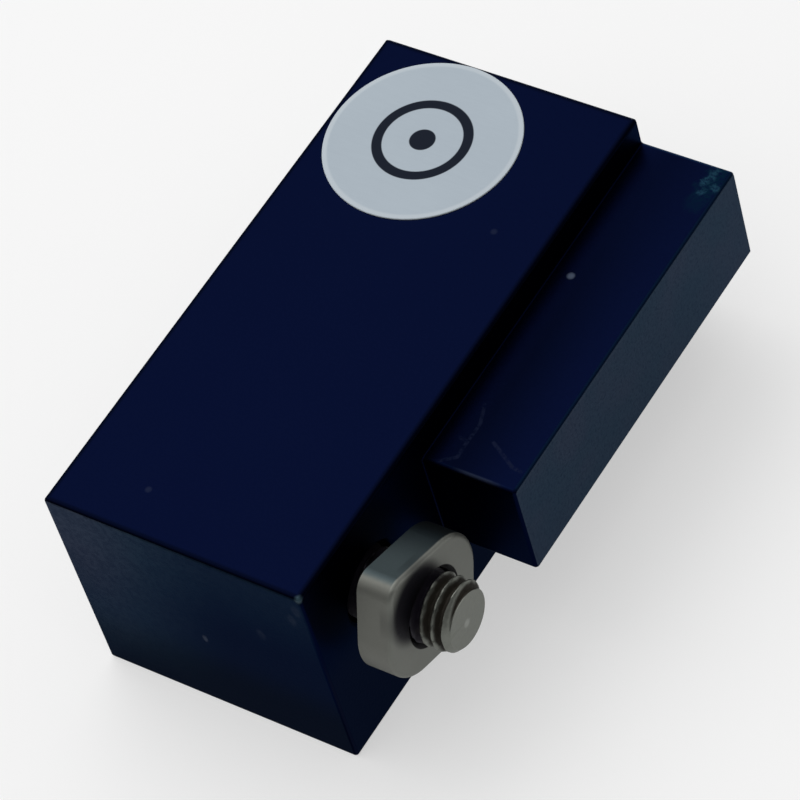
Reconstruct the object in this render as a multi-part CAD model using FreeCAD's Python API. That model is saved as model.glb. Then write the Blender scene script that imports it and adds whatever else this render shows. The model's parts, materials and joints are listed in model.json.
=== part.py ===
"""Clamp-on magnetic sensor for a profile slot about 9 mm wide.

A milled aluminium block carries a guide lug on its right side. A cross screw with a
quarter-turn slot nut clamps the block to the profile: lug and nut enter the same slot.
The sensing board is potted in a pocket that opens to the rear, and the pocket is closed
by a cap with a recessed plug receptacle.

Frame: millimetres, X to the right (out of the clamping side), Y to the rear (along the
slot), Z up. The origin is the centre of the bottom of the bounding box.
"""
import FreeCAD
import Part

import math
import os

V = FreeCAD.Vector

# Block
body_length = 42.0
body_width = 19.7
body_height = 17.4
edge_radius = 0.25
rear_edge_break = 0.15

# Guide lug on the right side, level with the slot
lug_reach = 6.95
lug_height = 8.2
lug_drop = 2.3
lug_edge_radius = 0.3
lug_root_radius = 0.1
screw_to_lug = 7.3

# Cross screw with socket head
screw_from_front = 6.4
screw_length = 20.0
screw_tip_reach = 6.7
shank_radius = 2.45
tip_chamfer = 0.25
head_radius = 4.25
head_height = 5.0
head_chamfer = 0.5
socket_sides = 6
socket_across_flats = 4.0
socket_depth = 2.5
screw_hole_clearance = 0.3
bore_mouth_chamfer = 0.3

# Washers under the head
plain_washer_radius = 4.5
plain_washer_thickness = 1.0
plain_washer_hole_clearance = 0.2
lock_washer_radius = 4.3
lock_washer_thickness = 1.2
lock_washer_hole_clearance = 0.12
lock_washer_slit = 0.8
lock_washer_slit_angle = 25.0
counterbore_clearance = 0.3

# Quarter-turn slot nut: two opposite corners rounded, two nearly square
nut_length = 9.6
nut_width = 8.7
nut_thickness = 2.5
nut_gap = 1.95
nut_turn = -19.5
nut_square_corner = 1.2
nut_round_corner = 3.8
nut_edge_radius = 0.35
nut_thread_clearance = 0.05
nut_countersink_depth = 0.3

# Round label on the top
label_radius = 6.8
label_thickness = 0.1
label_left_margin = 0.43
label_rear_margin = 0.2

# Pocket, cap and plug receptacle
pocket_corner = 1.5
pocket_margin = 1.0
cap_ledge = 0.9
cap_thickness = 2.4
cap_clearance = 0.05
receptacle_radius = 4.1
receptacle_wall = 0.7
receptacle_depth = 5.0
receptacle_mouth_chamfer = 0.4
snap_groove_depth = 0.35
snap_groove_width = 0.8
snap_groove_from_rear = 1.5

# Pin carrier, pins and seal
insert_clearance = 0.05
insert_length = 3.0
insert_flange_radius = 4.6
insert_flange_thickness = 1.2
o_ring_section_radius = 0.36
o_ring_clearance = 0.015
pin_radius = 0.5
pin_spread = 1.5
pin_tip_below_rear = 0.8
pin_tip_chamfer = 0.2
pin_hole_clearance = 0.02
pin_lap = 2.6

# Status light
light_pipe_radius = 1.0
light_pipe_gap = 0.8
light_pipe_clearance = 0.03
led_size = (2.0, 1.0, 1.3)
led_gap = 0.1

# Circuit board and what stands on it, each as (width, length, height)
board_thickness = 1.0
board_side_clearance = 1.0
board_front_clearance = 0.6
board_rear_gap = 0.4
board_edge_margin = 0.5
component_gap = 0.6
lead_thickness = 0.15
lead_reach = 0.5
lead_width = 0.4
hall_lead_count = 4
asic_lead_count = 4
regulator_lead_count = 3
transistor_lead_count = 3
diode_lead_count = 1
hall_size = (4.9, 3.9, 1.4)
asic_size = (5.0, 4.0, 1.4)
diode_size = (4.3, 2.6, 2.1)
regulator_size = (2.9, 1.5, 1.0)
transistor_size = (2.9, 1.4, 1.0)
suppressor_size = (3.2, 2.5, 1.5)
chip_size = (2.0, 1.2, 0.6)
capacitor_height = 1.2
resistor_count = 4
capacitor_count = 3
pin_gap = 0.02

# Derived: the pocket fits what it holds, and is centred in the block
boss_radius = receptacle_radius + receptacle_wall
pocket_width = 2 * (pocket_margin + boss_radius + light_pipe_radius) + light_pipe_gap
pocket_height = 2 * (pocket_margin + boss_radius)
boss_depth = receptacle_depth + insert_length
flange_depth = boss_depth + insert_flange_thickness
board_rear_depth = flange_depth + board_rear_gap
chip_pitch = chip_size[1] + component_gap
small_row = max(regulator_size[1], transistor_size[1])
top_rows = hall_size[1] + asic_size[1] + component_gap
bottom_rows = small_row + suppressor_size[1] + diode_size[1] + 2 * component_gap
chip_rows = max(resistor_count, capacitor_count) * chip_pitch
board_length = board_edge_margin + max(top_rows, bottom_rows, chip_rows) + component_gap + pin_lap
pocket_depth = board_rear_depth + board_length + board_front_clearance
counterbore_radius = plain_washer_radius + counterbore_clearance

# Derived: places in the frame
x_left = -(body_width + max(lug_reach, screw_tip_reach)) / 2
x_side = x_left + body_width
x_lug = x_side + lug_reach
y_front = -body_length / 2
y_rear = body_length / 2
y_screw = y_front + screw_from_front
y_lug = y_screw + screw_to_lug
y_pocket = y_rear - pocket_depth
z_top = body_height
z_lug_top = z_top - lug_drop
z_lug_bottom = z_lug_top - lug_height
z_screw = (z_lug_top + z_lug_bottom) / 2
x_tip = x_side + screw_tip_reach
x_head_seat = x_tip - screw_length
x_lock_washer = x_head_seat
x_plain_washer = x_lock_washer + lock_washer_thickness
x_counterbore = x_plain_washer + plain_washer_thickness
x_nut = x_side + nut_gap
x_pocket_left = x_left + (body_width - pocket_width) / 2
x_pocket_right = x_pocket_left + pocket_width
z_pocket_bottom = (body_height - pocket_height) / 2
z_pocket_top = z_pocket_bottom + pocket_height
x_receptacle = x_pocket_left + pocket_margin + boss_radius
z_receptacle = (z_pocket_bottom + z_pocket_top) / 2
x_light_pipe = x_receptacle + boss_radius + light_pipe_gap + light_pipe_radius
z_board_top = z_receptacle + board_thickness / 2
z_board_bottom = z_receptacle - board_thickness / 2
z_light_pipe = z_board_top + led_size[2] / 2
y_board_rear = y_rear - board_rear_depth
y_board_front = y_board_rear - board_length
x_board_left = x_pocket_left + board_side_clearance
x_board_right = x_pocket_right - board_side_clearance
y_led_rear = y_board_rear
pin_height = board_thickness / 2 + pin_radius + pin_gap

over = 0.5
tolerance = 0.001


def same(a, b):
    """True where two coordinates agree."""
    return abs(a - b) < tolerance


def box(low, high):
    """Box between two corners."""
    size = [b - a for a, b in zip(low, high)]
    return Part.makeBox(*size, V(*low))


def rounded_prism(low, high, radius):
    """Box whose four edges along Y are rounded."""
    block = box(low, high)
    along = [e for e in block.Edges if not same(e.BoundBox.YMin, e.BoundBox.YMax)]
    return block.makeFillet(radius, along)


def turned_x(profile, y=y_screw, z=z_screw):
    """Profile of (x, radius) points revolved about the X direction."""
    points = [V(x, y + r, z) for x, r in profile]
    face = Part.Face(Part.makePolygon(points + points[:1]))
    return face.revolve(V(0, y, z), V(1, 0, 0), 360)


def turned_y(profile, x=x_receptacle, z=z_receptacle):
    """Profile of (y, radius) points revolved about the Y direction."""
    points = [V(x + r, y, z) for y, r in profile]
    face = Part.Face(Part.makePolygon(points + points[:1]))
    return face.revolve(V(x, 0, z), V(0, 1, 0), 360)


def rod_y(radius, y0, y1, x, z):
    """Round rod from y0 to y1."""
    return Part.makeCylinder(radius, y1 - y0, V(x, y0, z), V(0, 1, 0))


def rear(depth):
    """Y of a plane that lies below the rear face by a depth."""
    return y_rear - depth


def in_plane_x(edge, x):
    """True for an edge that lies in a plane of constant X."""
    return same(edge.BoundBox.XMin, x) and same(edge.BoundBox.XMax, x)


def in_plane_y(edge, y):
    """True for an edge that lies in a plane of constant Y."""
    return same(edge.BoundBox.YMin, y) and same(edge.BoundBox.YMax, y)


def lug():
    """Guide lug with rounded free edges, set into the block by its root."""
    x_root = x_side - lug_reach / 2
    bar = box((x_root, y_lug, z_lug_bottom), (x_lug, y_rear, z_lug_top))
    free = [e for e in bar.Edges if not (in_plane_x(e, x_root) or in_plane_y(e, y_rear))]
    return bar.makeFillet(lug_edge_radius, free)


def milled_block():
    """Block and lug in one piece, with rounded edges and a rounded root."""
    block = box((x_left, y_front, 0), (x_side, y_rear, z_top))
    outer = [e for e in block.Edges if not in_plane_y(e, y_rear)]
    body = block.makeFillet(edge_radius, outer).fuse(lug()).removeSplitter()
    root = []
    for edge in body.Edges:
        bound = edge.BoundBox
        beside_lug = bound.ZMin > z_lug_bottom - tolerance and bound.ZMax < z_lug_top + tolerance
        if in_plane_x(edge, x_side) and beside_lug and not in_plane_y(edge, y_rear):
            root.append(edge)
    body = body.makeFillet(lug_root_radius, root)
    rim = [e for e in body.Edges if in_plane_y(e, y_rear)]
    return body.makeChamfer(rear_edge_break, rim)


def screw_bore():
    """Stepped cross bore: counterbore for the head, clearance hole for the shank."""
    hole = shank_radius + screw_hole_clearance
    mouth = bore_mouth_chamfer + over
    return turned_x([
        (x_left - over, 0),
        (x_left - over, counterbore_radius + mouth),
        (x_left + bore_mouth_chamfer, counterbore_radius),
        (x_counterbore, counterbore_radius),
        (x_counterbore, hole),
        (x_side - bore_mouth_chamfer, hole),
        (x_side + over, hole + mouth),
        (x_side + over, 0),
    ])


def housing():
    """Milled block with the cross bore, the pocket and the seat of the cap."""
    pocket = rounded_prism(
        (x_pocket_left, y_pocket, z_pocket_bottom),
        (x_pocket_right, y_rear + over, z_pocket_top), pocket_corner)
    seat = rounded_prism(
        (x_pocket_left - cap_ledge, rear(cap_thickness), z_pocket_bottom - cap_ledge),
        (x_pocket_right + cap_ledge, y_rear + over, z_pocket_top + cap_ledge),
        pocket_corner + cap_ledge)
    return milled_block().cut([screw_bore(), pocket, seat])


def clamp_screw():
    """Socket head screw: chamfered head and tip, hexagon socket."""
    screw = turned_x([
        (x_head_seat - head_height, 0),
        (x_head_seat - head_height, head_radius - head_chamfer),
        (x_head_seat - head_height + head_chamfer, head_radius),
        (x_head_seat, head_radius),
        (x_head_seat, shank_radius),
        (x_tip - tip_chamfer, shank_radius),
        (x_tip, shank_radius - tip_chamfer),
        (x_tip, 0),
    ])
    turn = 2 * math.pi / socket_sides
    corner = socket_across_flats / 2 / math.cos(turn / 2)
    x_face = x_head_seat - head_height
    angles = [turn * k for k in range(socket_sides + 1)]
    ring = [V(x_face, y_screw + corner * math.cos(a), z_screw + corner * math.sin(a)) for a in angles]
    socket = Part.Face(Part.makePolygon(ring)).extrude(V(socket_depth, 0, 0))
    return screw.cut(socket)


def ring_x(x0, x1, inner, outer):
    """Flat ring round the screw."""
    return turned_x([(x0, inner), (x0, outer), (x1, outer), (x1, inner)])


def plain_washer():
    """Flat washer on the floor of the counterbore."""
    hole = shank_radius + plain_washer_hole_clearance
    return ring_x(x_plain_washer, x_counterbore, hole, plain_washer_radius)


def lock_washer():
    """Split spring washer, drawn flat under the head, with a slanted slit at its top."""
    hole = shank_radius + lock_washer_hole_clearance
    washer = ring_x(x_lock_washer, x_plain_washer, hole, lock_washer_radius)
    middle = V((x_lock_washer + x_plain_washer) / 2, y_screw, z_screw)
    half = lock_washer_slit / 2
    reach = lock_washer_thickness + over
    slit = box((middle.x - reach, y_screw - half, z_screw),
               (middle.x + reach, y_screw + half, z_screw + lock_washer_radius + over))
    slit.rotate(middle, V(0, 0, 1), lock_washer_slit_angle)
    return washer.cut(slit)


def nut_outline():
    """Nut outline about the screw's axis: arcs of two sizes on alternate corners."""
    half_y = nut_length / 2
    half_z = nut_width / 2
    corners = [
        (1, 1, nut_round_corner),
        (-1, 1, nut_square_corner),
        (-1, -1, nut_round_corner),
        (1, -1, nut_square_corner),
    ]
    arcs = []
    for index, (side_y, side_z, radius) in enumerate(corners):
        centre_y = y_screw + side_y * (half_y - radius)
        centre_z = z_screw + side_z * (half_z - radius)
        angles = [math.radians(90 * index + step) for step in (0, 45, 90)]
        points = [V(x_nut, centre_y + radius * math.cos(a), centre_z + radius * math.sin(a)) for a in angles]
        arcs.append(points)
    edges = []
    for index, points in enumerate(arcs):
        edges.append(Part.Arc(*points).toShape())
        following = arcs[(index + 1) % len(arcs)]
        edges.append(Part.makeLine(points[-1], following[0]))
    return Part.Wire(edges)


def slot_nut():
    """Quarter-turn slot nut, stamped with a rolled outer rim, as it sits loose on the screw."""
    plate = Part.Face(nut_outline()).extrude(V(nut_thickness, 0, 0))
    x_outer = x_nut + nut_thickness
    rolled_rim = [e for e in plate.Edges if in_plane_x(e, x_outer)]
    plate = plate.makeFillet(nut_edge_radius, rolled_rim)
    bore = shank_radius + nut_thread_clearance
    countersink = bore + nut_countersink_depth
    hole = turned_x([
        (x_nut - over, 0),
        (x_nut - over, bore),
        (x_outer - nut_countersink_depth, bore),
        (x_outer, countersink),
        (x_outer + over, countersink),
        (x_outer + over, 0),
    ])
    nut = plate.cut(hole)
    nut.rotate(V(0, y_screw, z_screw), V(1, 0, 0), nut_turn)
    return nut


def label_disc():
    """Round sticker in the rear left corner of the top."""
    x = x_left + label_left_margin + label_radius
    y = y_rear - label_rear_margin - label_radius
    return Part.makeCylinder(label_radius, label_thickness, V(x, y, z_top))


def end_cap():
    """Cap plate on its ledge, with the receptacle's tube and the light pipe's hole."""
    grow = cap_ledge - cap_clearance
    plate = rounded_prism(
        (x_pocket_left - grow, rear(cap_thickness), z_pocket_bottom - grow),
        (x_pocket_right + grow, y_rear, z_pocket_top + grow), pocket_corner + grow)
    tube = rod_y(boss_radius, rear(boss_depth), rear(cap_thickness / 2), x_receptacle, z_receptacle)
    groove_rear = snap_groove_from_rear
    groove_front = snap_groove_from_rear + snap_groove_width
    groove = receptacle_radius + snap_groove_depth
    mouth = receptacle_mouth_chamfer + over
    recess = turned_y([
        (rear(boss_depth) - over, 0),
        (rear(boss_depth) - over, receptacle_radius),
        (rear(groove_front), receptacle_radius),
        (rear(groove_front), groove),
        (rear(groove_rear), groove),
        (rear(groove_rear), receptacle_radius),
        (rear(receptacle_mouth_chamfer), receptacle_radius),
        (y_rear + over, receptacle_radius + mouth),
        (y_rear + over, 0),
    ])
    pipe_hole = rod_y(light_pipe_radius + light_pipe_clearance, rear(cap_thickness) - over,
                      y_rear + over, x_light_pipe, z_light_pipe)
    return plate.fuse(tube).cut([recess, pipe_hole]).removeSplitter()


def pin_places():
    """Pin centres (x, z): two pins above the board, one below."""
    return [
        (x_receptacle - pin_spread, z_receptacle + pin_height),
        (x_receptacle + pin_spread, z_receptacle + pin_height),
        (x_receptacle, z_receptacle - pin_height),
    ]


def o_ring_groove():
    """Radius of the groove's floor and the depths of its two walls below the rear face."""
    squeeze = 2 * (o_ring_section_radius + o_ring_clearance)
    middle = receptacle_depth + insert_length / 2
    return receptacle_radius - squeeze, middle - squeeze / 2, middle + squeeze / 2


def connector_insert():
    """Pin carrier: round plug with a seal groove and a flange behind the tube."""
    outer = receptacle_radius - insert_clearance
    floor, wall_rear, wall_front = o_ring_groove()
    carrier = turned_y([
        (rear(receptacle_depth), 0),
        (rear(receptacle_depth), outer),
        (rear(wall_rear), outer),
        (rear(wall_rear), floor),
        (rear(wall_front), floor),
        (rear(wall_front), outer),
        (rear(boss_depth), outer),
        (rear(boss_depth), insert_flange_radius),
        (rear(flange_depth), insert_flange_radius),
        (rear(flange_depth), 0),
    ])
    holes = []
    for x, z in pin_places():
        hole = rod_y(pin_radius + pin_hole_clearance, rear(flange_depth) - over,
                     rear(receptacle_depth) + over, x, z)
        holes.append(hole)
    return carrier.cut(holes)


def connector_o_ring():
    """Seal ring squeezed into the carrier's groove: a round section with flattened sides."""
    middle = receptacle_radius - o_ring_clearance - o_ring_section_radius
    y_ring = rear(receptacle_depth + insert_length / 2)
    reach = o_ring_section_radius / math.cos(math.radians(22.5))
    angles = [math.radians(45 * k + 22.5) for k in range(8)]
    return turned_y([(y_ring + reach * math.cos(a), middle + reach * math.sin(a)) for a in angles])


def contact_pins():
    """Plug pins, lapped on the board's pads."""
    y_end = y_board_rear - pin_lap
    y_tip = rear(pin_tip_below_rear)
    pins = []
    for x, z in pin_places():
        pin = turned_y([
            (y_end, 0),
            (y_end, pin_radius),
            (y_tip - pin_tip_chamfer, pin_radius),
            (y_tip, pin_radius - pin_tip_chamfer),
            (y_tip, 0),
        ], x, z)
        pins.append(pin)
    return Part.makeCompound(pins)


def light_pipe():
    """Clear rod from the status light to the rear face."""
    return rod_y(light_pipe_radius, y_led_rear + led_gap, y_rear, x_light_pipe, z_light_pipe)


def status_led():
    """Side-emitting lamp at the board's rear edge."""
    width, length, height = led_size
    low = (x_light_pipe - width / 2, y_led_rear - length, z_board_top)
    return box(low, (low[0] + width, y_led_rear, z_board_top + height))


def circuit_board():
    """Bare board."""
    return box((x_board_left, y_board_front, z_board_bottom), (x_board_right, y_board_rear, z_board_top))


def leaded(x, y, size, leads, side=1):
    """Moulded package with flat leads front and rear, on the board's top or bottom side."""
    width, length, height = size
    face = z_board_top if side > 0 else z_board_bottom
    z0 = face + side * lead_thickness
    z1 = face + side * height
    z_low = min(face, z0)
    package = box((x, y + lead_reach, min(z0, z1)), (x + width, y + length - lead_reach, max(z0, z1)))
    pitch = width / leads
    flats = []
    for k in range(leads):
        x0 = x + (k + 0.5) * pitch - lead_width / 2
        flats.append(box((x0, y, z_low), (x0 + lead_width, y + length, z_low + lead_thickness)))
    return package.fuse(flats).removeSplitter()


x_row = x_board_left + board_edge_margin
y_row_hall = y_board_front + board_edge_margin
y_row_asic = y_row_hall + hall_size[1] + component_gap
y_row_suppressor = y_row_hall + small_row + component_gap
y_row_diode = y_row_suppressor + suppressor_size[1] + component_gap
x_transistor = x_row + regulator_size[0] + component_gap
x_capacitors = x_row + max(hall_size[0], asic_size[0]) + component_gap
x_resistors = max(x_transistor + transistor_size[0], x_row + diode_size[0]) + component_gap


def hall_sensor():
    """Magnetic sensing element at the front end of the board."""
    return leaded(x_row, y_row_hall, hall_size, hall_lead_count)


def signal_asic():
    """Amplifier and threshold circuit."""
    return leaded(x_row, y_row_asic, asic_size, asic_lead_count)


def voltage_regulator():
    """Supply regulator under the board."""
    return leaded(x_row, y_row_hall, regulator_size, regulator_lead_count, side=-1)


def output_transistor():
    """Output switch under the board."""
    return leaded(x_transistor, y_row_hall, transistor_size, transistor_lead_count, side=-1)


def surge_suppressor():
    """Ceramic surge suppressor under the board."""
    width, length, height = suppressor_size
    y = y_row_suppressor
    return box((x_row, y, z_board_bottom - height), (x_row + width, y + length, z_board_bottom))


def protection_diode():
    """Reverse polarity diode under the board, with its two end leads."""
    return leaded(x_row, y_row_diode, diode_size, diode_lead_count, side=-1)


def chips(x, count, z):
    """Column of equal chips along the board's right side, between two heights."""
    width, length = chip_size[:2]
    group = []
    for k in range(count):
        y = y_row_hall + k * chip_pitch
        group.append(box((x, y, min(z)), (x + width, y + length, max(z))))
    return Part.makeCompound(group)


def capacitors():
    """Filter capacitors on the board."""
    return chips(x_capacitors, capacitor_count, (z_board_top, z_board_top + capacitor_height))


def resistors():
    """Chip resistors under the board."""
    return chips(x_resistors, resistor_count, (z_board_bottom, z_board_bottom - chip_size[2]))


def potting_resin():
    """Resin round the board, from the pocket's front end to the carrier's flange."""
    resin = rounded_prism(
        (x_pocket_left, y_pocket, z_pocket_bottom),
        (x_pocket_right, rear(flange_depth), z_pocket_top), pocket_corner)
    held = [circuit_board(), hall_sensor(), signal_asic(), protection_diode(), voltage_regulator(),
            output_transistor(), surge_suppressor(), capacitors(), resistors(), status_led(),
            contact_pins(), light_pipe()]
    return resin.cut(held)


nodes = [
    housing,
    clamp_screw,
    plain_washer,
    lock_washer,
    slot_nut,
    label_disc,
    end_cap,
    connector_insert,
    connector_o_ring,
    contact_pins,
    light_pipe,
    status_led,
    circuit_board,
    hall_sensor,
    signal_asic,
    protection_diode,
    voltage_regulator,
    output_transistor,
    surge_suppressor,
    capacitors,
    resistors,
    potting_resin,
]

os.makedirs("parts", exist_ok=True)
for make in nodes:
    make().exportStep("parts/" + make.__name__ + ".step")
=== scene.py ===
"""Looks of the clamp-on magnetic sensor: blue block, round label, clamp screw and slot nut.

Lengths are millimetres in the part's frame: X to the right, out of the clamping side, Y to
the rear, Z up. They become metres where a mesh, a lamp or the camera is made. A pair of
limits gives where a soft mask is 0 and where it is 1.
"""

import json
import math

import bpy
import numpy as np
from mathutils import Matrix, Vector


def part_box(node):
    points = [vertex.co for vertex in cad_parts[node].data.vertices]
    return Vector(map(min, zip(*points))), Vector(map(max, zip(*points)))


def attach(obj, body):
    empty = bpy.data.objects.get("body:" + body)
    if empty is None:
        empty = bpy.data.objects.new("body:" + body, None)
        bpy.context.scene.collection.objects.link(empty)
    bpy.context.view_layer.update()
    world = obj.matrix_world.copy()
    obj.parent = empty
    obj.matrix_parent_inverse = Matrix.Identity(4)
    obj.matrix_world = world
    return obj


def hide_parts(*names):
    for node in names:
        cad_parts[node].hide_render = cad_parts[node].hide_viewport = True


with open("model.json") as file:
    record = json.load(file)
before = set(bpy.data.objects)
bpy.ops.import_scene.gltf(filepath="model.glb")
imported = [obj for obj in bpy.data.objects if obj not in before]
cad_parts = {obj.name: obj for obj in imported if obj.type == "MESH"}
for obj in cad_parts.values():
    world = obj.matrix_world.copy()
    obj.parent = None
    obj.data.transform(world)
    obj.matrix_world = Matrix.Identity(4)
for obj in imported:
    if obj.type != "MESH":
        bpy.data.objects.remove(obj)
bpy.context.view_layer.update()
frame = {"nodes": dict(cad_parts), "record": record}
mm = 0.001

# Camera, from the block's corners in the photograph
view_azimuth = math.radians(45.827)
view_elevation = math.radians(49.999)
view_roll = math.radians(18.106)
view_point = Vector((133.590, -131.090, 232.742))
lens_length = 201.029
sensor_width = 36.0
nearest_seen = 10.0

# Light: a soft lamp high on the left, under a ceiling that is paler on that side
lamp_side = Vector((-0.50, 0.25, 0.83)).normalized()
lamp_distance = 600.0
lamp_size = 560.0
lamp_level = 0.28
ceiling_left = 1.25
ceiling_right = 0.60
ceiling_turn = (-0.6, 0.6)
ceiling_foot = (0.40, 0.75)
walls = 0.20

# Floor: half its width, its grey, and how white it is to the eye and in mirrors
floor_half = 3000.0
floor_grey = 0.93
floor_mottle = 0.01
floor_white = 0.5

# Block and lug, from the frame
clamp = next(m for m in frame["record"]["mounts"] if m["name"] == "slot_clamp")
x_side, y_screw, z_screw = (c / mm for c in clamp["pos_m"])
housing_low, housing_high = (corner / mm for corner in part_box("housing"))
x_left, y_front, z_bottom = housing_low
x_lug, y_rear, z_top = housing_high
lug_height = 8.2
screw_to_lug = 7.3
y_lug = y_screw + screw_to_lug
z_lug_top = z_screw + lug_height / 2
z_lug_bottom = z_screw - lug_height / 2

# Faces and edges of the block: limits of their masks
face_skin = (0.06, 0.03)
lug_root = (x_side + 0.05, x_side + 0.15)
side_skin = (x_side - 0.30, x_side - 0.10)
edge_width = (0.50, 0.22)
edge_height = (z_top - 0.8, z_top - 0.3)
lug_round_width = (0.28, 0.15)
lug_round_start = (y_lug + 0.1, y_lug + 0.5)
chip_width = (0.55, 0.10)
chip_cover = 0.7

# Painted shade and painted reflection of the floor on the block: limits over place and noise
shade_across = (x_lug + 0.3, x_side + 1.2)
shade_along = (y_rear, 0)
shade_root = (x_side, x_side + 2.6)
low_front = (7.5, 3.0)
side_reflection_height = (12.5, 7.0)
reflection_reach = (13.5, 0.5)
reflection_rise = (9.0, 17.0)
reflection_foot = (-1.0, 6.5)
reflection_break = (0.35, 0.65)
reflection_drop = 0.5
grey_reach = (8.0, 2.5)
patch_break = (0.25, 0.75)
speckle_break = (0.30, 0.55)

# Dust on the block: places in the plane of their face, radius, and how much a speck hides
lug_dust = ([(7.7, 9.25)], 0.34, 0.54)
top_dust = ([(-7.3, -17.6), (2.45, 9.05)], 0.30, 0.038)
front_dust = ([(-6.2, 7.7)], 0.45, 0.16)
front_bloom = ([(10.35, 15.9), (9.2, 14.6), (3.35, 11.2)], 0.75, 0.06)
front_squeeze = 1.8

# Scratches on the lug's top: their points and width
lug_scratches = [
    ([(7.8, -4.9), (8.4, -4.95), (8.45, -3.5), (7.9, -2.0)], 0.16),
    ([(10.0, -4.4), (10.9, -4.9), (12.1, -5.6), (12.8, -5.7)], 0.17),
    ([(8.4, -4.95), (8.43, -6.3), (7.5, -7.0)], 0.17),
]
scratch_break = (0.36, 0.60)

# Rubbed front edge of the lug: limits along it, across it, behind its front and up to its top
rubbed_left = (8.4, 9.9)
rubbed_right = (12.6, 11.0)
rubbed_width = (0.34, 0.16)
rubbed_depth = (y_lug + 0.36, y_lug + 0.28)
rubbed_height = (z_lug_top - 0.22, z_lug_top - 0.08)

# Scuffed rear corner of the lug: points and width of the scuff and of its bright streak and flecks
lug_scuff = ([(12.35, 17.6), (12.35, 18.9), (12.45, 20.3)], 0.95)
lug_streak = ([(12.25, 20.4), (11.95, 19.4)], 0.42)
lug_flecks = [(12.13, 18.65), (12.80, 19.23)]
lug_fleck_radius = 0.44
scuff_wander = (1.1, 1.0)
scuff_rise = (17.4, 19.2)
scuff_break = (0.25, 0.60)
fleck_break = (0.30, 0.62)

# Tones of the block, with those of its painted shade and painted reflections
navy_deep = (0.0011, 0.0024, 0.0138)
navy_pale = (0.0014, 0.0030, 0.0160)
lug_shade_tone = (0.0006, 0.0014, 0.0068)
front_foot_shade_tone = (0.0010, 0.0009, 0.0032)
edge_reflection_tone = (0.0006, 0.0012, 0.0045)
lug_round_tone = (0.0035, 0.0120, 0.0360)
reflection_blue = (0.020, 0.0412, 0.062)
reflection_grey = (0.037, 0.0445, 0.069)
side_reflection_tone = (0.020, 0.019, 0.014)
scratch_tone = (0.010, 0.014, 0.036)
rubbed_tone = (0.028, 0.036, 0.056)
scuff_tone = (0.0016, 0.0110, 0.0235)
fleck_tone = (0.010, 0.036, 0.060)
chip_tone = (0.040, 0.085, 0.110)
dust_tone = (0.088, 0.118, 0.182)
dye_mirror_tint = (0.48, 0.505, 0.55)

# Clamp screw
screw_low, screw_high = (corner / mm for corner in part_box("clamp_screw"))
x_head = screw_low.x
x_tip = screw_high.x
head_radius = (screw_high.z - screw_low.z) / 2
head_height = 5.0
head_chamfer = 0.5
x_seat = x_head + head_height
shank_radius = 2.45
socket_apothem = 2.0
socket_depth = 2.5
socket_point = 0.6
socket_mouth_radius = 2.5
socket_mouth_chamfer = 0.25
knurl_teeth = 40
knurl_depth = 0.12
knurl_margin = 0.35
screw_columns = 240

# Thread of the screw: crest_half and root_start are shares of a pitch from the crest's middle
thread_pitch = 0.8
thread_depth = 0.49
thread_length = 9.7
thread_run_out = 1.2
thread_start = 0.55
crest_half = 1 / 16
root_start = 3 / 8
rings_per_turn = 14

# End of the screw, a little further out than its solid's, with a nick
tip_reach = 0.25
x_end = x_tip + tip_reach
tip_chamfer = 0.45
tip_nick = (-14.74, 10.81)
nick_radius = 0.40

# Slot nut
nut_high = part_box("slot_nut")[1] / mm
x_nut_face = nut_high.x
nut_turn = math.radians(-19.5)
nut_upright = Vector((0, -math.sin(nut_turn), math.cos(nut_turn)))
nut_mouth = 2.8
nut_shadow_centre = (-1.3, 2.05)

# Darker thread roots and blotches, and the painted shadow of the nut on the screw: limits over place
# and noise
shank_start = (x_seat, x_seat + 0.1)
end_skin = (0.05, 0.02)
groove_depth = (0.03, 0.15)
root_depth = (shank_radius + 0.28, shank_radius)
root_blotch = 0.5
blotch_front = (-0.6, -1.8)
blotch_height = (2.0, 0.6)
blotch_middle = -0.2
blotch_break = (0.56, 0.42)
screw_shadow_reach = (x_nut_face + 0.95, x_nut_face + 0.60)
screw_shadow_slope = 0.4
screw_shadow_upwards = (-1.6, -0.6)

# Painted shadow, shade, dark reflection and rim highlight on the nut: limits round the bore, under
# the face, up and to the rear
nut_mouth_fade = (nut_mouth + 0.06, nut_mouth - 0.04)
nut_shadow_reach = (3.2, 2.2)
nut_shadow_depth = (0.9, 0.7)
nut_flank_depth = (0.20, 0.35)
nut_top_reflection_height = (4.10, 4.34)
nut_highlight_depth = (0.36, 0.22)
nut_highlight_skin = (0.0, 0.06)
nut_highlight_height = (3.8, 4.1)
nut_shade_rear = (-2.5, 2.5)
nut_shade_height = (0.5, 2.5)

# Tones of screw and nut, with those of their painted shade, shadows, dark reflection and highlight
zinc_dull = (0.124, 0.132, 0.117)
zinc_pale = (0.197, 0.205, 0.183)
thread_dark_tone = (0.021, 0.018, 0.014)
nick_tone = (0.25, 0.26, 0.24)
screw_shadow_tone = (0.010, 0.008, 0.015)
nut_dull = (0.152, 0.160, 0.144)
nut_pale = (0.194, 0.199, 0.182)
nut_flank_shade_tone = (0.155, 0.157, 0.142)
nut_top_reflection_tone = (0.053, 0.078, 0.088)
nut_highlight_tone = (0.34, 0.35, 0.32)
nut_shade_tone = (0.006, 0.010, 0.014)
nut_shadow_tone = (0.005, 0.004, 0.009)

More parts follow.
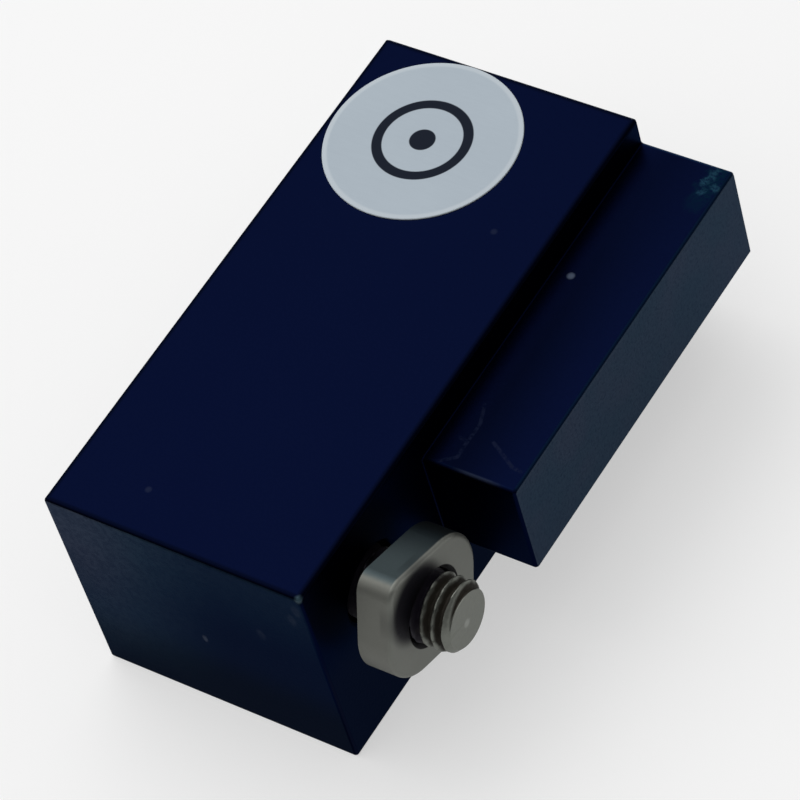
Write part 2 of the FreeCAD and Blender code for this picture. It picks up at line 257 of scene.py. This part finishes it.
# Round label, with a plain ring and dot
label_low, label_high = (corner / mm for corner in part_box("label_disc"))
label_x = (label_low.x + label_high.x) / 2
label_y = (label_low.y + label_high.y) / 2
label_radius = (label_high.x - label_low.x) / 2
label_rim = 0.07
label_columns = 160
label_rings = 12
label_hub = 0.1
label_roll_steps = 6
label_cut_width = (0.45, 0.25)
mark_radius = 3.1
mark_line = 0.7
mark_dot = 0.9
ink_fade = 0.04
film_grain = (0.25, 2.0, 1.0)
film_dull = (0.40, 0.46, 0.52)
film_pale = (0.47, 0.54, 0.60)
label_cut_tone = (0.52, 0.58, 0.63)
ink_tone = (0.007, 0.011, 0.022)

# Plain finishes: darker and paler tone, roughness, grains per millimetre, their depth, fixed sockets
plain_finishes = {
    "spring_steel": ((0.10, 0.10, 0.10), (0.16, 0.16, 0.16), 0.35, 3.0, 0.01, {"Metallic": 1.0}),
    "black_plastic": ((0.008, 0.008, 0.009), (0.015, 0.015, 0.016), 0.46, 2.2, 0.02,
                      {"Specular IOR Level": 0.3}),
    "seal_rubber": ((0.012, 0.012, 0.012), (0.022, 0.022, 0.022), 0.75, 3.0, 0.01, {}),
    "gold_brass": ((0.62, 0.42, 0.15), (0.74, 0.52, 0.22), 0.26, 3.0, 0.01, {"Metallic": 1.0}),
    "clear_plastic": ((0.70, 0.74, 0.74), (0.78, 0.82, 0.82), 0.16, 3.0, 0.01,
                      {"Transmission Weight": 0.8, "IOR": 1.49}),
    "led_lens": ((0.60, 0.58, 0.44), (0.72, 0.70, 0.55), 0.30, 3.0, 0.01, {}),
    "board_laminate": ((0.010, 0.075, 0.030), (0.016, 0.110, 0.045), 0.42, 3.0, 0.01, {}),
    "chip_moulding": ((0.012, 0.012, 0.013), (0.020, 0.020, 0.021), 0.55, 3.0, 0.01, {}),
    "chip_ceramic": ((0.34, 0.27, 0.19), (0.44, 0.36, 0.26), 0.45, 3.0, 0.01, {}),
    "potting": ((0.010, 0.010, 0.012), (0.016, 0.016, 0.018), 0.30, 3.0, 0.01, {}),
}
plain_roughness_swing = 0.08

# Edges sharper than this stay sharp on a mesh
sharp_angle = math.radians(35)


class Value:
    """A socket of a node tree. Arithmetic on it adds Math nodes; & is the smaller, | the larger."""

    def __init__(self, finish, socket):
        self.finish = finish
        self.socket = socket

    def __add__(self, other):
        return self.finish.math("ADD", self, other)

    def __radd__(self, other):
        return self.finish.math("ADD", other, self)

    def __sub__(self, other):
        return self.finish.math("SUBTRACT", self, other)

    def __rsub__(self, other):
        return self.finish.math("SUBTRACT", other, self)

    def __mul__(self, other):
        return self.finish.math("MULTIPLY", self, other)

    def __rmul__(self, other):
        return self.finish.math("MULTIPLY", other, self)

    def __truediv__(self, other):
        return self.finish.math("DIVIDE", self, other)

    def __pow__(self, other):
        return self.finish.math("POWER", self, other)

    def __abs__(self):
        return self.finish.math("ABSOLUTE", self)

    def __and__(self, other):
        return self.finish.math("MINIMUM", self, other)

    def __or__(self, other):
        return self.finish.math("MAXIMUM", self, other)


class Finish:
    """Node tree of a material or of the world, written as expressions."""

    def __init__(self, owner):
        owner.use_nodes = True
        self.owner = owner
        self.tree = owner.node_tree
        self.tree.nodes.clear()

    def node(self, kind, inputs, out=0, **settings):
        """Any node: its settings first, then values or links on its sockets; gives one output."""
        made = self.tree.nodes.new(kind)
        for name, value in settings.items():
            setattr(made, name, value)
        for key, value in inputs.items():
            if isinstance(value, Value):
                self.tree.links.new(value.socket, made.inputs[key])
            else:
                made.inputs[key].default_value = value
        return Value(self, made.outputs[out]) if made.outputs else None

    def math(self, operation, *values):
        """Math node on numbers or values."""
        return self.node("ShaderNodeMath", dict(enumerate(values)), operation=operation)

    def mix(self, factor, first, second):
        """Colour between two colours, each a value or three numbers."""
        ends = [tone if isinstance(tone, Value) else opaque(tone) for tone in (first, second)]
        return self.node("ShaderNodeMix", {0: factor, 6: ends[0], 7: ends[1]}, 2, data_type="RGBA")

    def layered(self, colour, layers):
        """Colour under layers, each with its mask, the share that it hides, and its own tone."""
        for mask, share, tone in layers:
            colour = self.mix(mask * share, colour, tone)
        return colour

    def joined(self, masks):
        """Largest of several masks."""
        whole = masks[0]
        for mask in masks[1:]:
            whole = whole | mask
        return whole

    def step(self, value, start, end):
        """Smooth step: 0 at start, 1 at end, whichever of the two is larger."""
        sockets = {"Value": value, "From Min": start, "From Max": end}
        return self.node("ShaderNodeMapRange", sockets, interpolation_type="SMOOTHSTEP")

    def place(self):
        """Place on the part, in millimetres."""
        held = self.node("ShaderNodeTexCoord", {}, "Object")
        return self.node("ShaderNodeVectorMath", {"Vector": held, "Scale": 1 / mm}, operation="SCALE")

    def axes(self, where):
        """The three coordinates of a place."""
        first = self.node("ShaderNodeSeparateXYZ", {"Vector": where})
        return [Value(self, socket) for socket in first.socket.node.outputs]

    def noise(self, where, scale, detail=2.0, roughness=0.5, stretch=(1, 1, 1)):
        """Fractal noise round 0.5, with so many grains per millimetre, drawn out along an axis."""
        drawn = self.node("ShaderNodeVectorMath", {0: where, 1: stretch}, operation="MULTIPLY")
        sockets = {"Vector": drawn, "Scale": scale, "Detail": detail, "Roughness": roughness}
        return self.node("ShaderNodeTexNoise", sockets)

    def distance(self, across, along):
        """Length of an offset in a plane: the root of the sum of its squares."""
        return (across * across + along * along) ** 0.5

    def on_face(self, value, level, side=1):
        """Mask of a flat face at this level of a coordinate, fading out just under it."""
        return self.step(value, level - side * face_skin[0], level - side * face_skin[1])

    def dot(self, u, v, centre, radius):
        """Placed dot in the plane of u and v, fading from its centre."""
        across = u - centre[0]
        along = v - centre[1]
        return self.step(across * across + along * along, radius ** 2, 0)

    def stroke(self, u, v, start, end, width):
        """Placed scratch in the plane of u and v: nearness to a straight run, as a soft line."""
        run = (end[0] - start[0], end[1] - start[1])
        across = u - start[0]
        along = v - start[1]
        share = (across * run[0] + along * run[1]) / (run[0] ** 2 + run[1] ** 2)
        share = (share | 0.0) & 1.0
        gap_u = across - share * run[0]
        gap_v = along - share * run[1]
        return self.step(gap_u * gap_u + gap_v * gap_v, width ** 2, 0)

    def path(self, u, v, points, width):
        """Placed scratch along straight runs from point to point."""
        return self.joined([self.stroke(u, v, start, end, width)
                            for start, end in zip(points, points[1:])])

    def edge_gap(self, gaps):
        """Distance to the nearest edge of a box, as the middle one of the gaps to its faces."""
        a, b, c = gaps
        return a + b + c - (a & b & c) - (a | b | c)

    def bump(self, height, depth):
        """Normal from a height of 0 to 1 that stands for a depth in millimetres."""
        return self.node("ShaderNodeBump", {"Height": height, "Distance": depth * mm}, "Normal")

    def principled(self, sockets):
        """Principled shader."""
        return self.node("ShaderNodeBsdfPrincipled", sockets, "BSDF")

    def finished(self, shader):
        """Finished material with this shader as its surface."""
        self.node("ShaderNodeOutputMaterial", {"Surface": shader})
        return self.owner

    def surface(self, sockets):
        """Finished material with one Principled surface."""
        return self.finished(self.principled(sockets))


def material(name):
    """New material with an empty node tree."""
    return Finish(bpy.data.materials.new(name))


def grey(level):
    """Neutral tone."""
    return (level, level, level)


def opaque(tone):
    """Tone as a socket takes it, with full alpha."""
    return (*tone, 1)


def camera():
    """Camera at the photograph's viewing angle, rolled about its own axis."""
    back = Vector((math.sin(view_azimuth) * math.cos(view_elevation),
                   -math.cos(view_azimuth) * math.cos(view_elevation),
                   math.sin(view_elevation)))
    level = Vector((0, 0, 1)).cross(back).normalized()
    upright = back.cross(level)
    across = level * math.cos(view_roll) - upright * math.sin(view_roll)
    upwards = level * math.sin(view_roll) + upright * math.cos(view_roll)
    data = bpy.data.cameras.new("camera")
    data.lens = lens_length
    data.sensor_width = sensor_width
    data.clip_start = nearest_seen * mm
    held = bpy.data.objects.new("camera", data)
    turn = Matrix((across, upwards, back)).transposed().to_4x4()
    held.matrix_world = Matrix.Translation(view_point * mm) @ turn
    bpy.context.scene.collection.objects.link(held)
    bpy.context.scene.camera = held


def sky():
    """Plain studio surround: dim walls under a pale ceiling, palest on the lamp's side."""
    finish = Finish(bpy.data.worlds.new("surround"))
    direction = finish.node("ShaderNodeTexCoord", {}, "Generated")
    x, _, z = finish.axes(direction)
    ceiling = finish.mix(finish.step(x, *ceiling_turn), grey(ceiling_left), grey(ceiling_right))
    colour = finish.mix(finish.step(z, *ceiling_foot), grey(walls), ceiling)
    background = finish.node("ShaderNodeBackground", {"Color": colour, "Strength": 1.0})
    finish.node("ShaderNodeOutputWorld", {"Surface": background})
    bpy.context.scene.world = finish.owner


def lamp():
    """Square lamp that faces the part. Its level is the brightness that it gives a white floor."""
    data = bpy.data.lights.new("lamp", "AREA")
    data.size = lamp_size * mm
    data.energy = lamp_level * (math.pi * lamp_distance * mm) ** 2 / lamp_side.z
    held = bpy.data.objects.new("lamp", data)
    turn = lamp_side.to_track_quat("Z", "Y").to_matrix().to_4x4()
    held.matrix_world = Matrix.Translation(lamp_side * lamp_distance * mm) @ turn
    bpy.context.scene.collection.objects.link(held)


def add_mesh(name, points, faces):
    """Mesh object from points in millimetres, smooth but for its sharp edges."""
    mesh = bpy.data.meshes.new(name)
    mesh.from_pydata((points * mm).tolist(), [], faces)
    mesh.shade_smooth()
    mesh.set_sharp_from_angle(angle=sharp_angle)
    held = bpy.data.objects.new(name, mesh)
    bpy.context.scene.collection.objects.link(held)
    return held


def floor():
    """Plain pale floor: one square, part white to the eye and in mirrors, part shaded by the lamp."""
    corners = np.array([(-1, -1, 0), (1, -1, 0), (1, 1, 0), (-1, 1, 0)]) * floor_half
    held = add_mesh("floor", corners, [(0, 1, 2, 3)])
    finish = material("floor")
    grain = finish.noise(finish.place(), scale=0.02, detail=4.0)
    colour = finish.mix(grain, grey(floor_grey - floor_mottle), grey(floor_grey + floor_mottle))
    shaded = finish.principled({"Base Color": colour, "Roughness": 0.9, "Specular IOR Level": 0.1})
    white = finish.node("ShaderNodeEmission", {"Color": opaque(grey(1.0)), "Strength": 1.0})
    rays = finish.node("ShaderNodeLightPath", {}).socket.node.outputs
    seen = finish.joined([Value(finish, rays[name])
                          for name in ("Is Camera Ray", "Is Glossy Ray", "Is Transmission Ray")])
    both = finish.node("ShaderNodeMixShader", {0: seen * floor_white, 1: shaded, 2: white})
    held.data.materials.append(finish.finished(both))


def turned_piece(name, rings, first_pole, last_pole):
    """Closed skin over rings of points, each ring joined to the next and the ends to one point each.

    Rings is an array of ring, column and coordinate. Columns run right-handed about the way
    that the rings advance, so the faces point outwards.
    """
    count, columns = rings.shape[:2]
    index = np.arange(count * columns).reshape(count, columns)
    beside = np.roll(index, -1, axis=1)
    quads = np.stack([index[:-1], beside[:-1], beside[1:], index[1:]], axis=-1).reshape(-1, 4)
    first = count * columns
    last = first + 1
    start_fan = np.stack([np.full(columns, first), beside[0], index[0]], axis=-1)
    end_fan = np.stack([np.full(columns, last), index[-1], beside[-1]], axis=-1)
    points = np.concatenate([rings.reshape(-1, 3), [first_pole], [last_pole]])
    return add_mesh(name, points, quads.tolist() + start_fan.tolist() + end_fan.tolist())


def clamp_screw():
    """Socket head screw with a real helix, as one skin of radius over place and angle.

    The rings run from the socket's floor over the head to the tip. The radius of a ring is
    round, blended towards a hexagon in the socket: apothem over the cosine of the angle from
    the nearest flat. The head's side loses a triangle wave of knurl_teeth per turn. In the
    thread the radius drops from crest to root with the helix phase, place over pitch less
    angle over a turn: flat crest, straight flanks, flat root. The tip's cone cuts it off.
    A row of the plan gives a ring's place, radius, share of hexagon and share of knurl.
    """
    angle = np.linspace(0, 2 * math.pi, screw_columns, endpoint=False)
    x_floor = x_head + socket_depth
    x_thread = x_tip - thread_length
    x_knurl = (x_head + head_chamfer + knurl_margin, x_seat - knurl_margin)
    turns = np.linspace(x_thread, x_end, int((x_end - x_thread) / thread_pitch * rings_per_turn))
    plan = [
        (x_floor, socket_apothem, 1, 0),
        (x_head + socket_mouth_chamfer, socket_apothem, 1, 0),
        (x_head, socket_mouth_radius, 0, 0),
        (x_head, head_radius - head_chamfer, 0, 0),
        (x_head + head_chamfer, head_radius, 0, 0),
        (x_knurl[0], head_radius, 0, 0),
        (x_knurl[0] + knurl_depth, head_radius, 0, 1),
        (x_knurl[1] - knurl_depth, head_radius, 0, 1),
        (x_knurl[1], head_radius, 0, 0),
        (x_seat, head_radius, 0, 0),
        (x_seat, shank_radius, 0, 0),
    ]
    plan = np.array(plan + [(x, shank_radius, 0, 0) for x in turns])
    place, radius, hexagon, knurl = (plan[:, k:k + 1] for k in range(4))

    flat = np.mod(angle + math.pi / 6, math.pi / 3) - math.pi / 6
    tooth = np.abs(np.mod(angle * knurl_teeth / (2 * math.pi), 1) * 2 - 1)
    reach = radius * (1 - hexagon + hexagon / np.cos(flat)) - knurl * knurl_depth * tooth

    phase = np.mod((place + thread_start) / thread_pitch - angle / (2 * math.pi), 1)
    from_crest = np.abs(phase - 0.5)
    cut = np.clip((from_crest - crest_half) / (root_start - crest_half), 0, 1)
    fade = np.clip((place - x_thread) / thread_run_out, 0, 1)
    reach = reach - thread_depth * cut * fade
    cone = shank_radius - tip_chamfer + x_end - place
    reach = np.where(place > x_thread, np.minimum(reach, cone), reach)

    x = np.broadcast_to(place, reach.shape)
    rings = np.stack([x, y_screw + reach * np.cos(angle), z_screw + reach * np.sin(angle)], axis=-1)
    return turned_piece("clamp_screw_threaded", rings,
                        (x_floor + socket_point, y_screw, z_screw), (x_end, y_screw, z_screw))


def label():
    """Round sticker: a flat disc whose rim rolls down over a quarter circle."""
    angle = np.linspace(0, -2 * math.pi, label_columns, endpoint=False)
    roll = np.linspace(0, math.pi / 2, label_roll_steps)[1:]
    flat_radius = label_radius - label_rim
    flat = np.linspace(label_hub, 1, label_rings) * flat_radius
    reach = np.concatenate([flat, flat_radius + label_rim * np.sin(roll), [label_radius]])
    drop = np.concatenate([flat * 0, label_rim * (1 - np.cos(roll)), [label_high.z - label_low.z]])
    x = label_x + reach[:, None] * np.cos(angle)
    y = label_y + reach[:, None] * np.sin(angle)
    z = np.broadcast_to(label_high.z - drop[:, None], x.shape)
    return turned_piece("round_label", np.stack([x, y, z], axis=-1),
                        (label_x, label_y, label_high.z), (label_x, label_y, label_low.z))


def anodised_blue():
    """Dyed aluminium: navy metal, scuffed and dusty, with a painted dark reflection along its top
    edges, painted shade on the lug's top and at the front's foot, and a painted reflection of the
    floor on the front, the lug's side and the clamping side's foot.
    """
    finish = material("anodised_blue")
    where = finish.place()
    x, y, z = finish.axes(where)
    cloud = finish.noise(where, scale=0.12, detail=3.0)
    mottle = finish.noise(where, scale=2.6, detail=3.0, roughness=0.65)
    grain = finish.noise(where, scale=5.0, detail=3.0, roughness=0.6)
    drift = finish.noise(where, scale=1.5, detail=3.0, roughness=0.6)
    patchy = finish.step(finish.noise(where, scale=0.20), *patch_break)
    speckle = finish.step(finish.noise(where, scale=4.5, roughness=0.6), *speckle_break)

    # Faces
    on_lug = finish.step(x, *lug_root)
    on_top = finish.on_face(z, z_top)
    on_front = finish.on_face(y, y_front, -1)
    on_lug_top = on_lug * finish.on_face(z, z_lug_top)
    on_lug_side = finish.on_face(x, x_lug)

    # Edges, with a painted dark reflection along the block's top edges, and a chip at the front
    # corner
    block_gap = finish.edge_gap((
        abs(x - x_left) & abs(x - x_side),
        abs(y - y_front) & abs(y - y_rear),
        abs(z - z_bottom) & abs(z - z_top)))
    lug_gap = finish.edge_gap((
        abs(x - x_lug),
        abs(y - y_lug) & abs(y - y_rear),
        abs(z - z_lug_bottom) & abs(z - z_lug_top)))
    # Painted dark reflection along the block's top edges
    edge = finish.step(block_gap, *edge_width) * finish.step(z, *edge_height) * (1 - on_lug)
    lug_round = finish.step(lug_gap, *lug_round_width) * on_lug * finish.step(y, *lug_round_start)
    corner = finish.node("ShaderNodeVectorMath", {0: where, 1: (x_side, y_front, z_top)}, "Value",
                         operation="DISTANCE")
    chipped = finish.step(corner, *chip_width)

    # Dust
    squeezed = x * front_squeeze
    specks = [
        (on_lug_top, x, y, lug_dust),
        (on_top, x, y, top_dust),
        (on_front, squeezed, z, front_dust),
        (on_front * mottle, squeezed, z, front_bloom),
    ]
    dust = finish.joined([face * finish.dot(u, v, place, radius) * cover
                          for face, u, v, (places, radius, cover) in specks
                          for place in places])
    # Painted reflection of the floor: the clamping side lighter towards its foot
    side_foot_reflection = finish.step(x, *side_skin) * (1 - on_lug) * (1 - on_front) * finish.step(z, *side_reflection_height)
    lying_on = dust | chipped * chip_cover

    # Wear of the lug's top
    scratch = finish.joined([finish.path(x, y, points, width) for points, width in lug_scratches])
    scratch = scratch * on_lug_top * finish.step(mottle, *scratch_break)
    rubbed = finish.step(x, *rubbed_left) * finish.step(x, *rubbed_right)
    rubbed = rubbed * finish.step(lug_gap, *rubbed_width) * finish.step(y, *rubbed_depth)
    rubbed = rubbed * finish.step(z, *rubbed_height) * (0.4 + 0.6 * mottle)
    wander_x = x + (drift - 0.5) * scuff_wander[0]
    wander_y = y + (mottle - 0.5) * scuff_wander[1]
    scuff = finish.path(wander_x, wander_y, *lug_scuff) * on_lug_top
    scuff = scuff * (0.35 + 0.65 * finish.step(y, *scuff_rise)) * finish.step(grain, *scuff_break)
    flecks = finish.joined([finish.path(wander_x, wander_y, *lug_streak)]
                           + [finish.dot(wander_x, wander_y, place, lug_fleck_radius)
                              for place in lug_flecks])
    flecks = flecks * on_lug_top * finish.step(grain, *fleck_break)

    # Painted shade on the lug's top: darker towards the front and towards the block, eased off right
    # at its root
    shaded = finish.step(x, *shade_across) * (0.6 + 0.5 * finish.step(y, *shade_along))
    shaded = on_lug_top * shaded * finish.step(x, *shade_root) & 1.0
    # Painted shade: the front darker towards its foot
    low = on_front * finish.step(z, *low_front)
    # Painted reflection of the pale floor: the lug's side and the front paler and greyer, the front
    # most at its upper left and towards its top, broken up by patches, mottle and speckle
    reach = finish.distance(x - x_left, (z_top - z) * reflection_drop)
    greyer = on_lug * (0.35 + 0.45 * patchy)
    greyer = greyer | (1 - on_lug) * (finish.step(reach, *grey_reach) * 0.75 + patchy * 0.25)
    reflection_tone = finish.mix(greyer, reflection_blue, reflection_grey)
    front_reflection = finish.step(reach, *reflection_reach) * 0.78 + finish.step(z, *reflection_rise) * 0.25
    front_reflection = front_reflection * finish.step(z, *reflection_foot) * (0.55 + 0.3 * finish.step(mottle, *reflection_break))
    painted_reflection = on_lug_side * (0.55 + 0.25 * mottle + 0.25 * speckle) | on_front * front_reflection

    colour = finish.layered(finish.mix(cloud, navy_deep, navy_pale), [
        (shaded, 1.0, lug_shade_tone),
        (low, 0.8, front_foot_shade_tone),
        (edge, 0.75, edge_reflection_tone),
        (lug_round, 1.0, lug_round_tone),
        (painted_reflection, 1.0, reflection_tone),
        (side_foot_reflection, 0.14, side_reflection_tone),
        (scratch, 0.45, scratch_tone),
        (rubbed, 0.42, rubbed_tone),
        (scuff, 0.9, scuff_tone),
        (flecks, 0.85, fleck_tone),
        (chipped, chip_cover, chip_tone),
        (dust, 1.0, dust_tone),
    ])
    return finish.surface({
        "Base Color": colour,
        "Metallic": 1 - lying_on,
        "Roughness": 0.31 + 0.10 * grain + 0.05 * cloud + 0.15 * (lying_on | scuff | scratch),
        "Specular Tint": opaque(dye_mirror_tint),
        "Normal": finish.bump(grain * 0.7 + mottle * 0.3, depth=0.010),
    })


def zinc_steel():
    """Plated screw steel, darker brown down in the thread roots and in blotches on its front, with a
    painted shadow of the nut on the thread beside it.
    """
    finish = material("zinc_steel")
    where = finish.place()
    x, y, z = finish.axes(where)
    off_y = y - y_screw
    off_z = z - z_screw
    radius = finish.distance(off_y, off_z)
    short = x_end - x
    grain = finish.noise(where, scale=3.0, detail=4.0, roughness=0.6)
    blotch = finish.noise(where, scale=1.1)
    on_shank = finish.step(x, *shank_start)
    on_end = finish.step(short, *end_skin)
    cone = short + (shank_radius - tip_chamfer)
    grooved = finish.step(cone - radius, *groove_depth) * on_shank * (1 - on_end)
    # Darker brown down in the thread roots and in blotches on the thread's front side
    root = finish.step(radius + root_blotch * blotch, *root_depth) * grooved
    thread_blotches = finish.step(off_y, *blotch_front) * finish.step(abs(off_z - blotch_middle), *blotch_height)
    thread_blotches = thread_blotches * finish.step(blotch, *blotch_break) * grooved
    nicked = finish.dot(y, z, tip_nick, nick_radius) * on_end
    # Painted shadow of the nut on the thread beside it, on the thread's upper front side
    cast_shadow = finish.step(x + blotch, *screw_shadow_reach) * on_shank
    cast_shadow = cast_shadow * finish.step(off_z - off_y * screw_shadow_slope, *screw_shadow_upwards)
    colour = finish.layered(finish.mix(grain, zinc_dull, zinc_pale), [
        (root | thread_blotches * 0.8, 1.0, thread_dark_tone),
        (nicked, 1.0, nick_tone),
        (cast_shadow, 0.92, screw_shadow_tone),
    ])
    return finish.surface({
        "Base Color": colour,
        "Metallic": 1 - 0.9 * root,
        "Roughness": 0.36 + 0.2 * grain + 0.2 * root,
        "Specular IOR Level": 0.1,
        "Normal": finish.bump(grain, depth=0.02),
    })


def nut_steel():
    """Dull plated nut: mottled, with a fine tumbled grain, painted shade on its flanks, in the bore's
    mouth and towards the rear of its top, a painted dark reflection on its top side, a painted rim
    highlight and a painted shadow of the screw round the bore.
    """
    finish = material("nut_steel")
    where = finish.place()
    x, y, z = finish.axes(where)
    off_y = y - y_screw
    off_z = z - z_screw
    deep = x_nut_face - x
    upwards = off_z * nut_upright.z + off_y * nut_upright.y
    rearwards = off_y * nut_upright.z - off_z * nut_upright.y
    cloud = finish.noise(where, scale=0.35, detail=3.0)
    grain = finish.noise(where, scale=4.0, detail=4.0, roughness=0.65)
    # Painted shade in the mouth of the bore
    mouth = finish.step(finish.distance(off_y, off_z), *nut_mouth_fade)
    # Painted shadow of the screw on the nut's face, up and forward of the bore
    cast_shadow = finish.step(finish.distance(off_y - nut_shadow_centre[0], off_z - nut_shadow_centre[1]), *nut_shadow_reach)
    cast_shadow = cast_shadow * finish.step(deep, *nut_shadow_depth)
    # Painted shade: the nut's flanks darker than its outer face
    flank = finish.step(deep, *nut_flank_depth)
    # Painted dark reflection of the blue block on the nut's top side
    top_dark_reflection = flank * finish.step(upwards, *nut_top_reflection_height)
    # Painted highlight along the rim between the nut's top side and its outer face
    rim_highlight = finish.step(deep, *nut_highlight_depth) * finish.step(deep, *nut_highlight_skin)
    rim_highlight = rim_highlight * finish.step(upwards, *nut_highlight_height)
    # Painted shade on the nut's upper flanks, towards the rear
    rear_shade = flank * finish.step(rearwards, *nut_shade_rear) * finish.step(upwards, *nut_shade_height)
    colour = finish.layered(finish.mix(cloud * 0.6 + grain * 0.4, nut_dull, nut_pale), [
        (flank, 0.6, nut_flank_shade_tone),
        (top_dark_reflection, 0.85, nut_top_reflection_tone),
        (rim_highlight, 0.6, nut_highlight_tone),
        (rear_shade, 0.94, nut_shade_tone),
        (cast_shadow * 0.97 | mouth * 0.9, 1.0, nut_shadow_tone),
    ])
    return finish.surface({
        "Base Color": colour,
        "Metallic": 1.0,
        "Roughness": 0.50 + 0.14 * grain,
        "Normal": finish.bump(grain, depth=0.006),
    })


def label_silver():
    """Printed silver film: fine rolled grain, a paler cut rim and a plain aiming mark in dark ink."""
    finish = material("label_silver")
    where = finish.place()
    x, y, _ = finish.axes(where)
    radius = finish.distance(x - label_x, y - label_y)
    grain = finish.noise(where, scale=2.0, detail=4.0, roughness=0.6, stretch=film_grain)
    cloud = finish.noise(where, scale=0.12)
    cut = finish.step(label_radius - radius, *label_cut_width)
    ring = finish.step(abs(radius - mark_radius), mark_line / 2 + ink_fade, mark_line / 2 - ink_fade)
    dot = finish.step(radius, mark_dot + ink_fade, mark_dot - ink_fade)
    colour = finish.layered(finish.mix(grain * 0.5 + cloud * 0.5, film_dull, film_pale), [
        (cut, 1.0, label_cut_tone),
        (ring | dot, 1.0, ink_tone),
    ])
    return finish.surface({
        "Base Color": colour,
        "Roughness": 0.46 + 0.12 * grain,
        "Specular IOR Level": 0.05,
        "Normal": finish.bump(grain, depth=0.006),
    })


def plain(name, dark, pale, roughness, scale, depth, fixed):
    """Plain moulded, cast or drawn stuff: two near tones over one grain, with a matching bump."""
    finish = material(name)
    grain = finish.noise(finish.place(), scale, detail=4.0, roughness=0.6)
    return finish.surface({
        "Base Color": finish.mix(grain, dark, pale),
        "Roughness": roughness + plain_roughness_swing * (2 * grain - 1),
        "Normal": finish.bump(grain, depth),
        **fixed,
    })


camera()
sky()
lamp()
floor()

finishes = {
    "anodised_blue": anodised_blue(),
    "zinc_steel": zinc_steel(),
    "nut_steel": nut_steel(),
    "label_silver": label_silver(),
}
for name, look in plain_finishes.items():
    finishes[name] = plain(name, *look)

for entry in frame["record"]["subparts"]:
    mesh = frame["nodes"][entry["node"]].data
    mesh.materials.clear()
    mesh.materials.append(finishes[entry["material_slot"]])

screw = clamp_screw()
screw.data.materials.append(finishes["zinc_steel"])
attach(screw, "screw")
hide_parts("clamp_screw")

sticker = label()
sticker.data.materials.append(finishes["label_silver"])
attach(sticker, "body")
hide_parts("label_disc")

bpy.context.scene.view_settings.view_transform = "Standard"
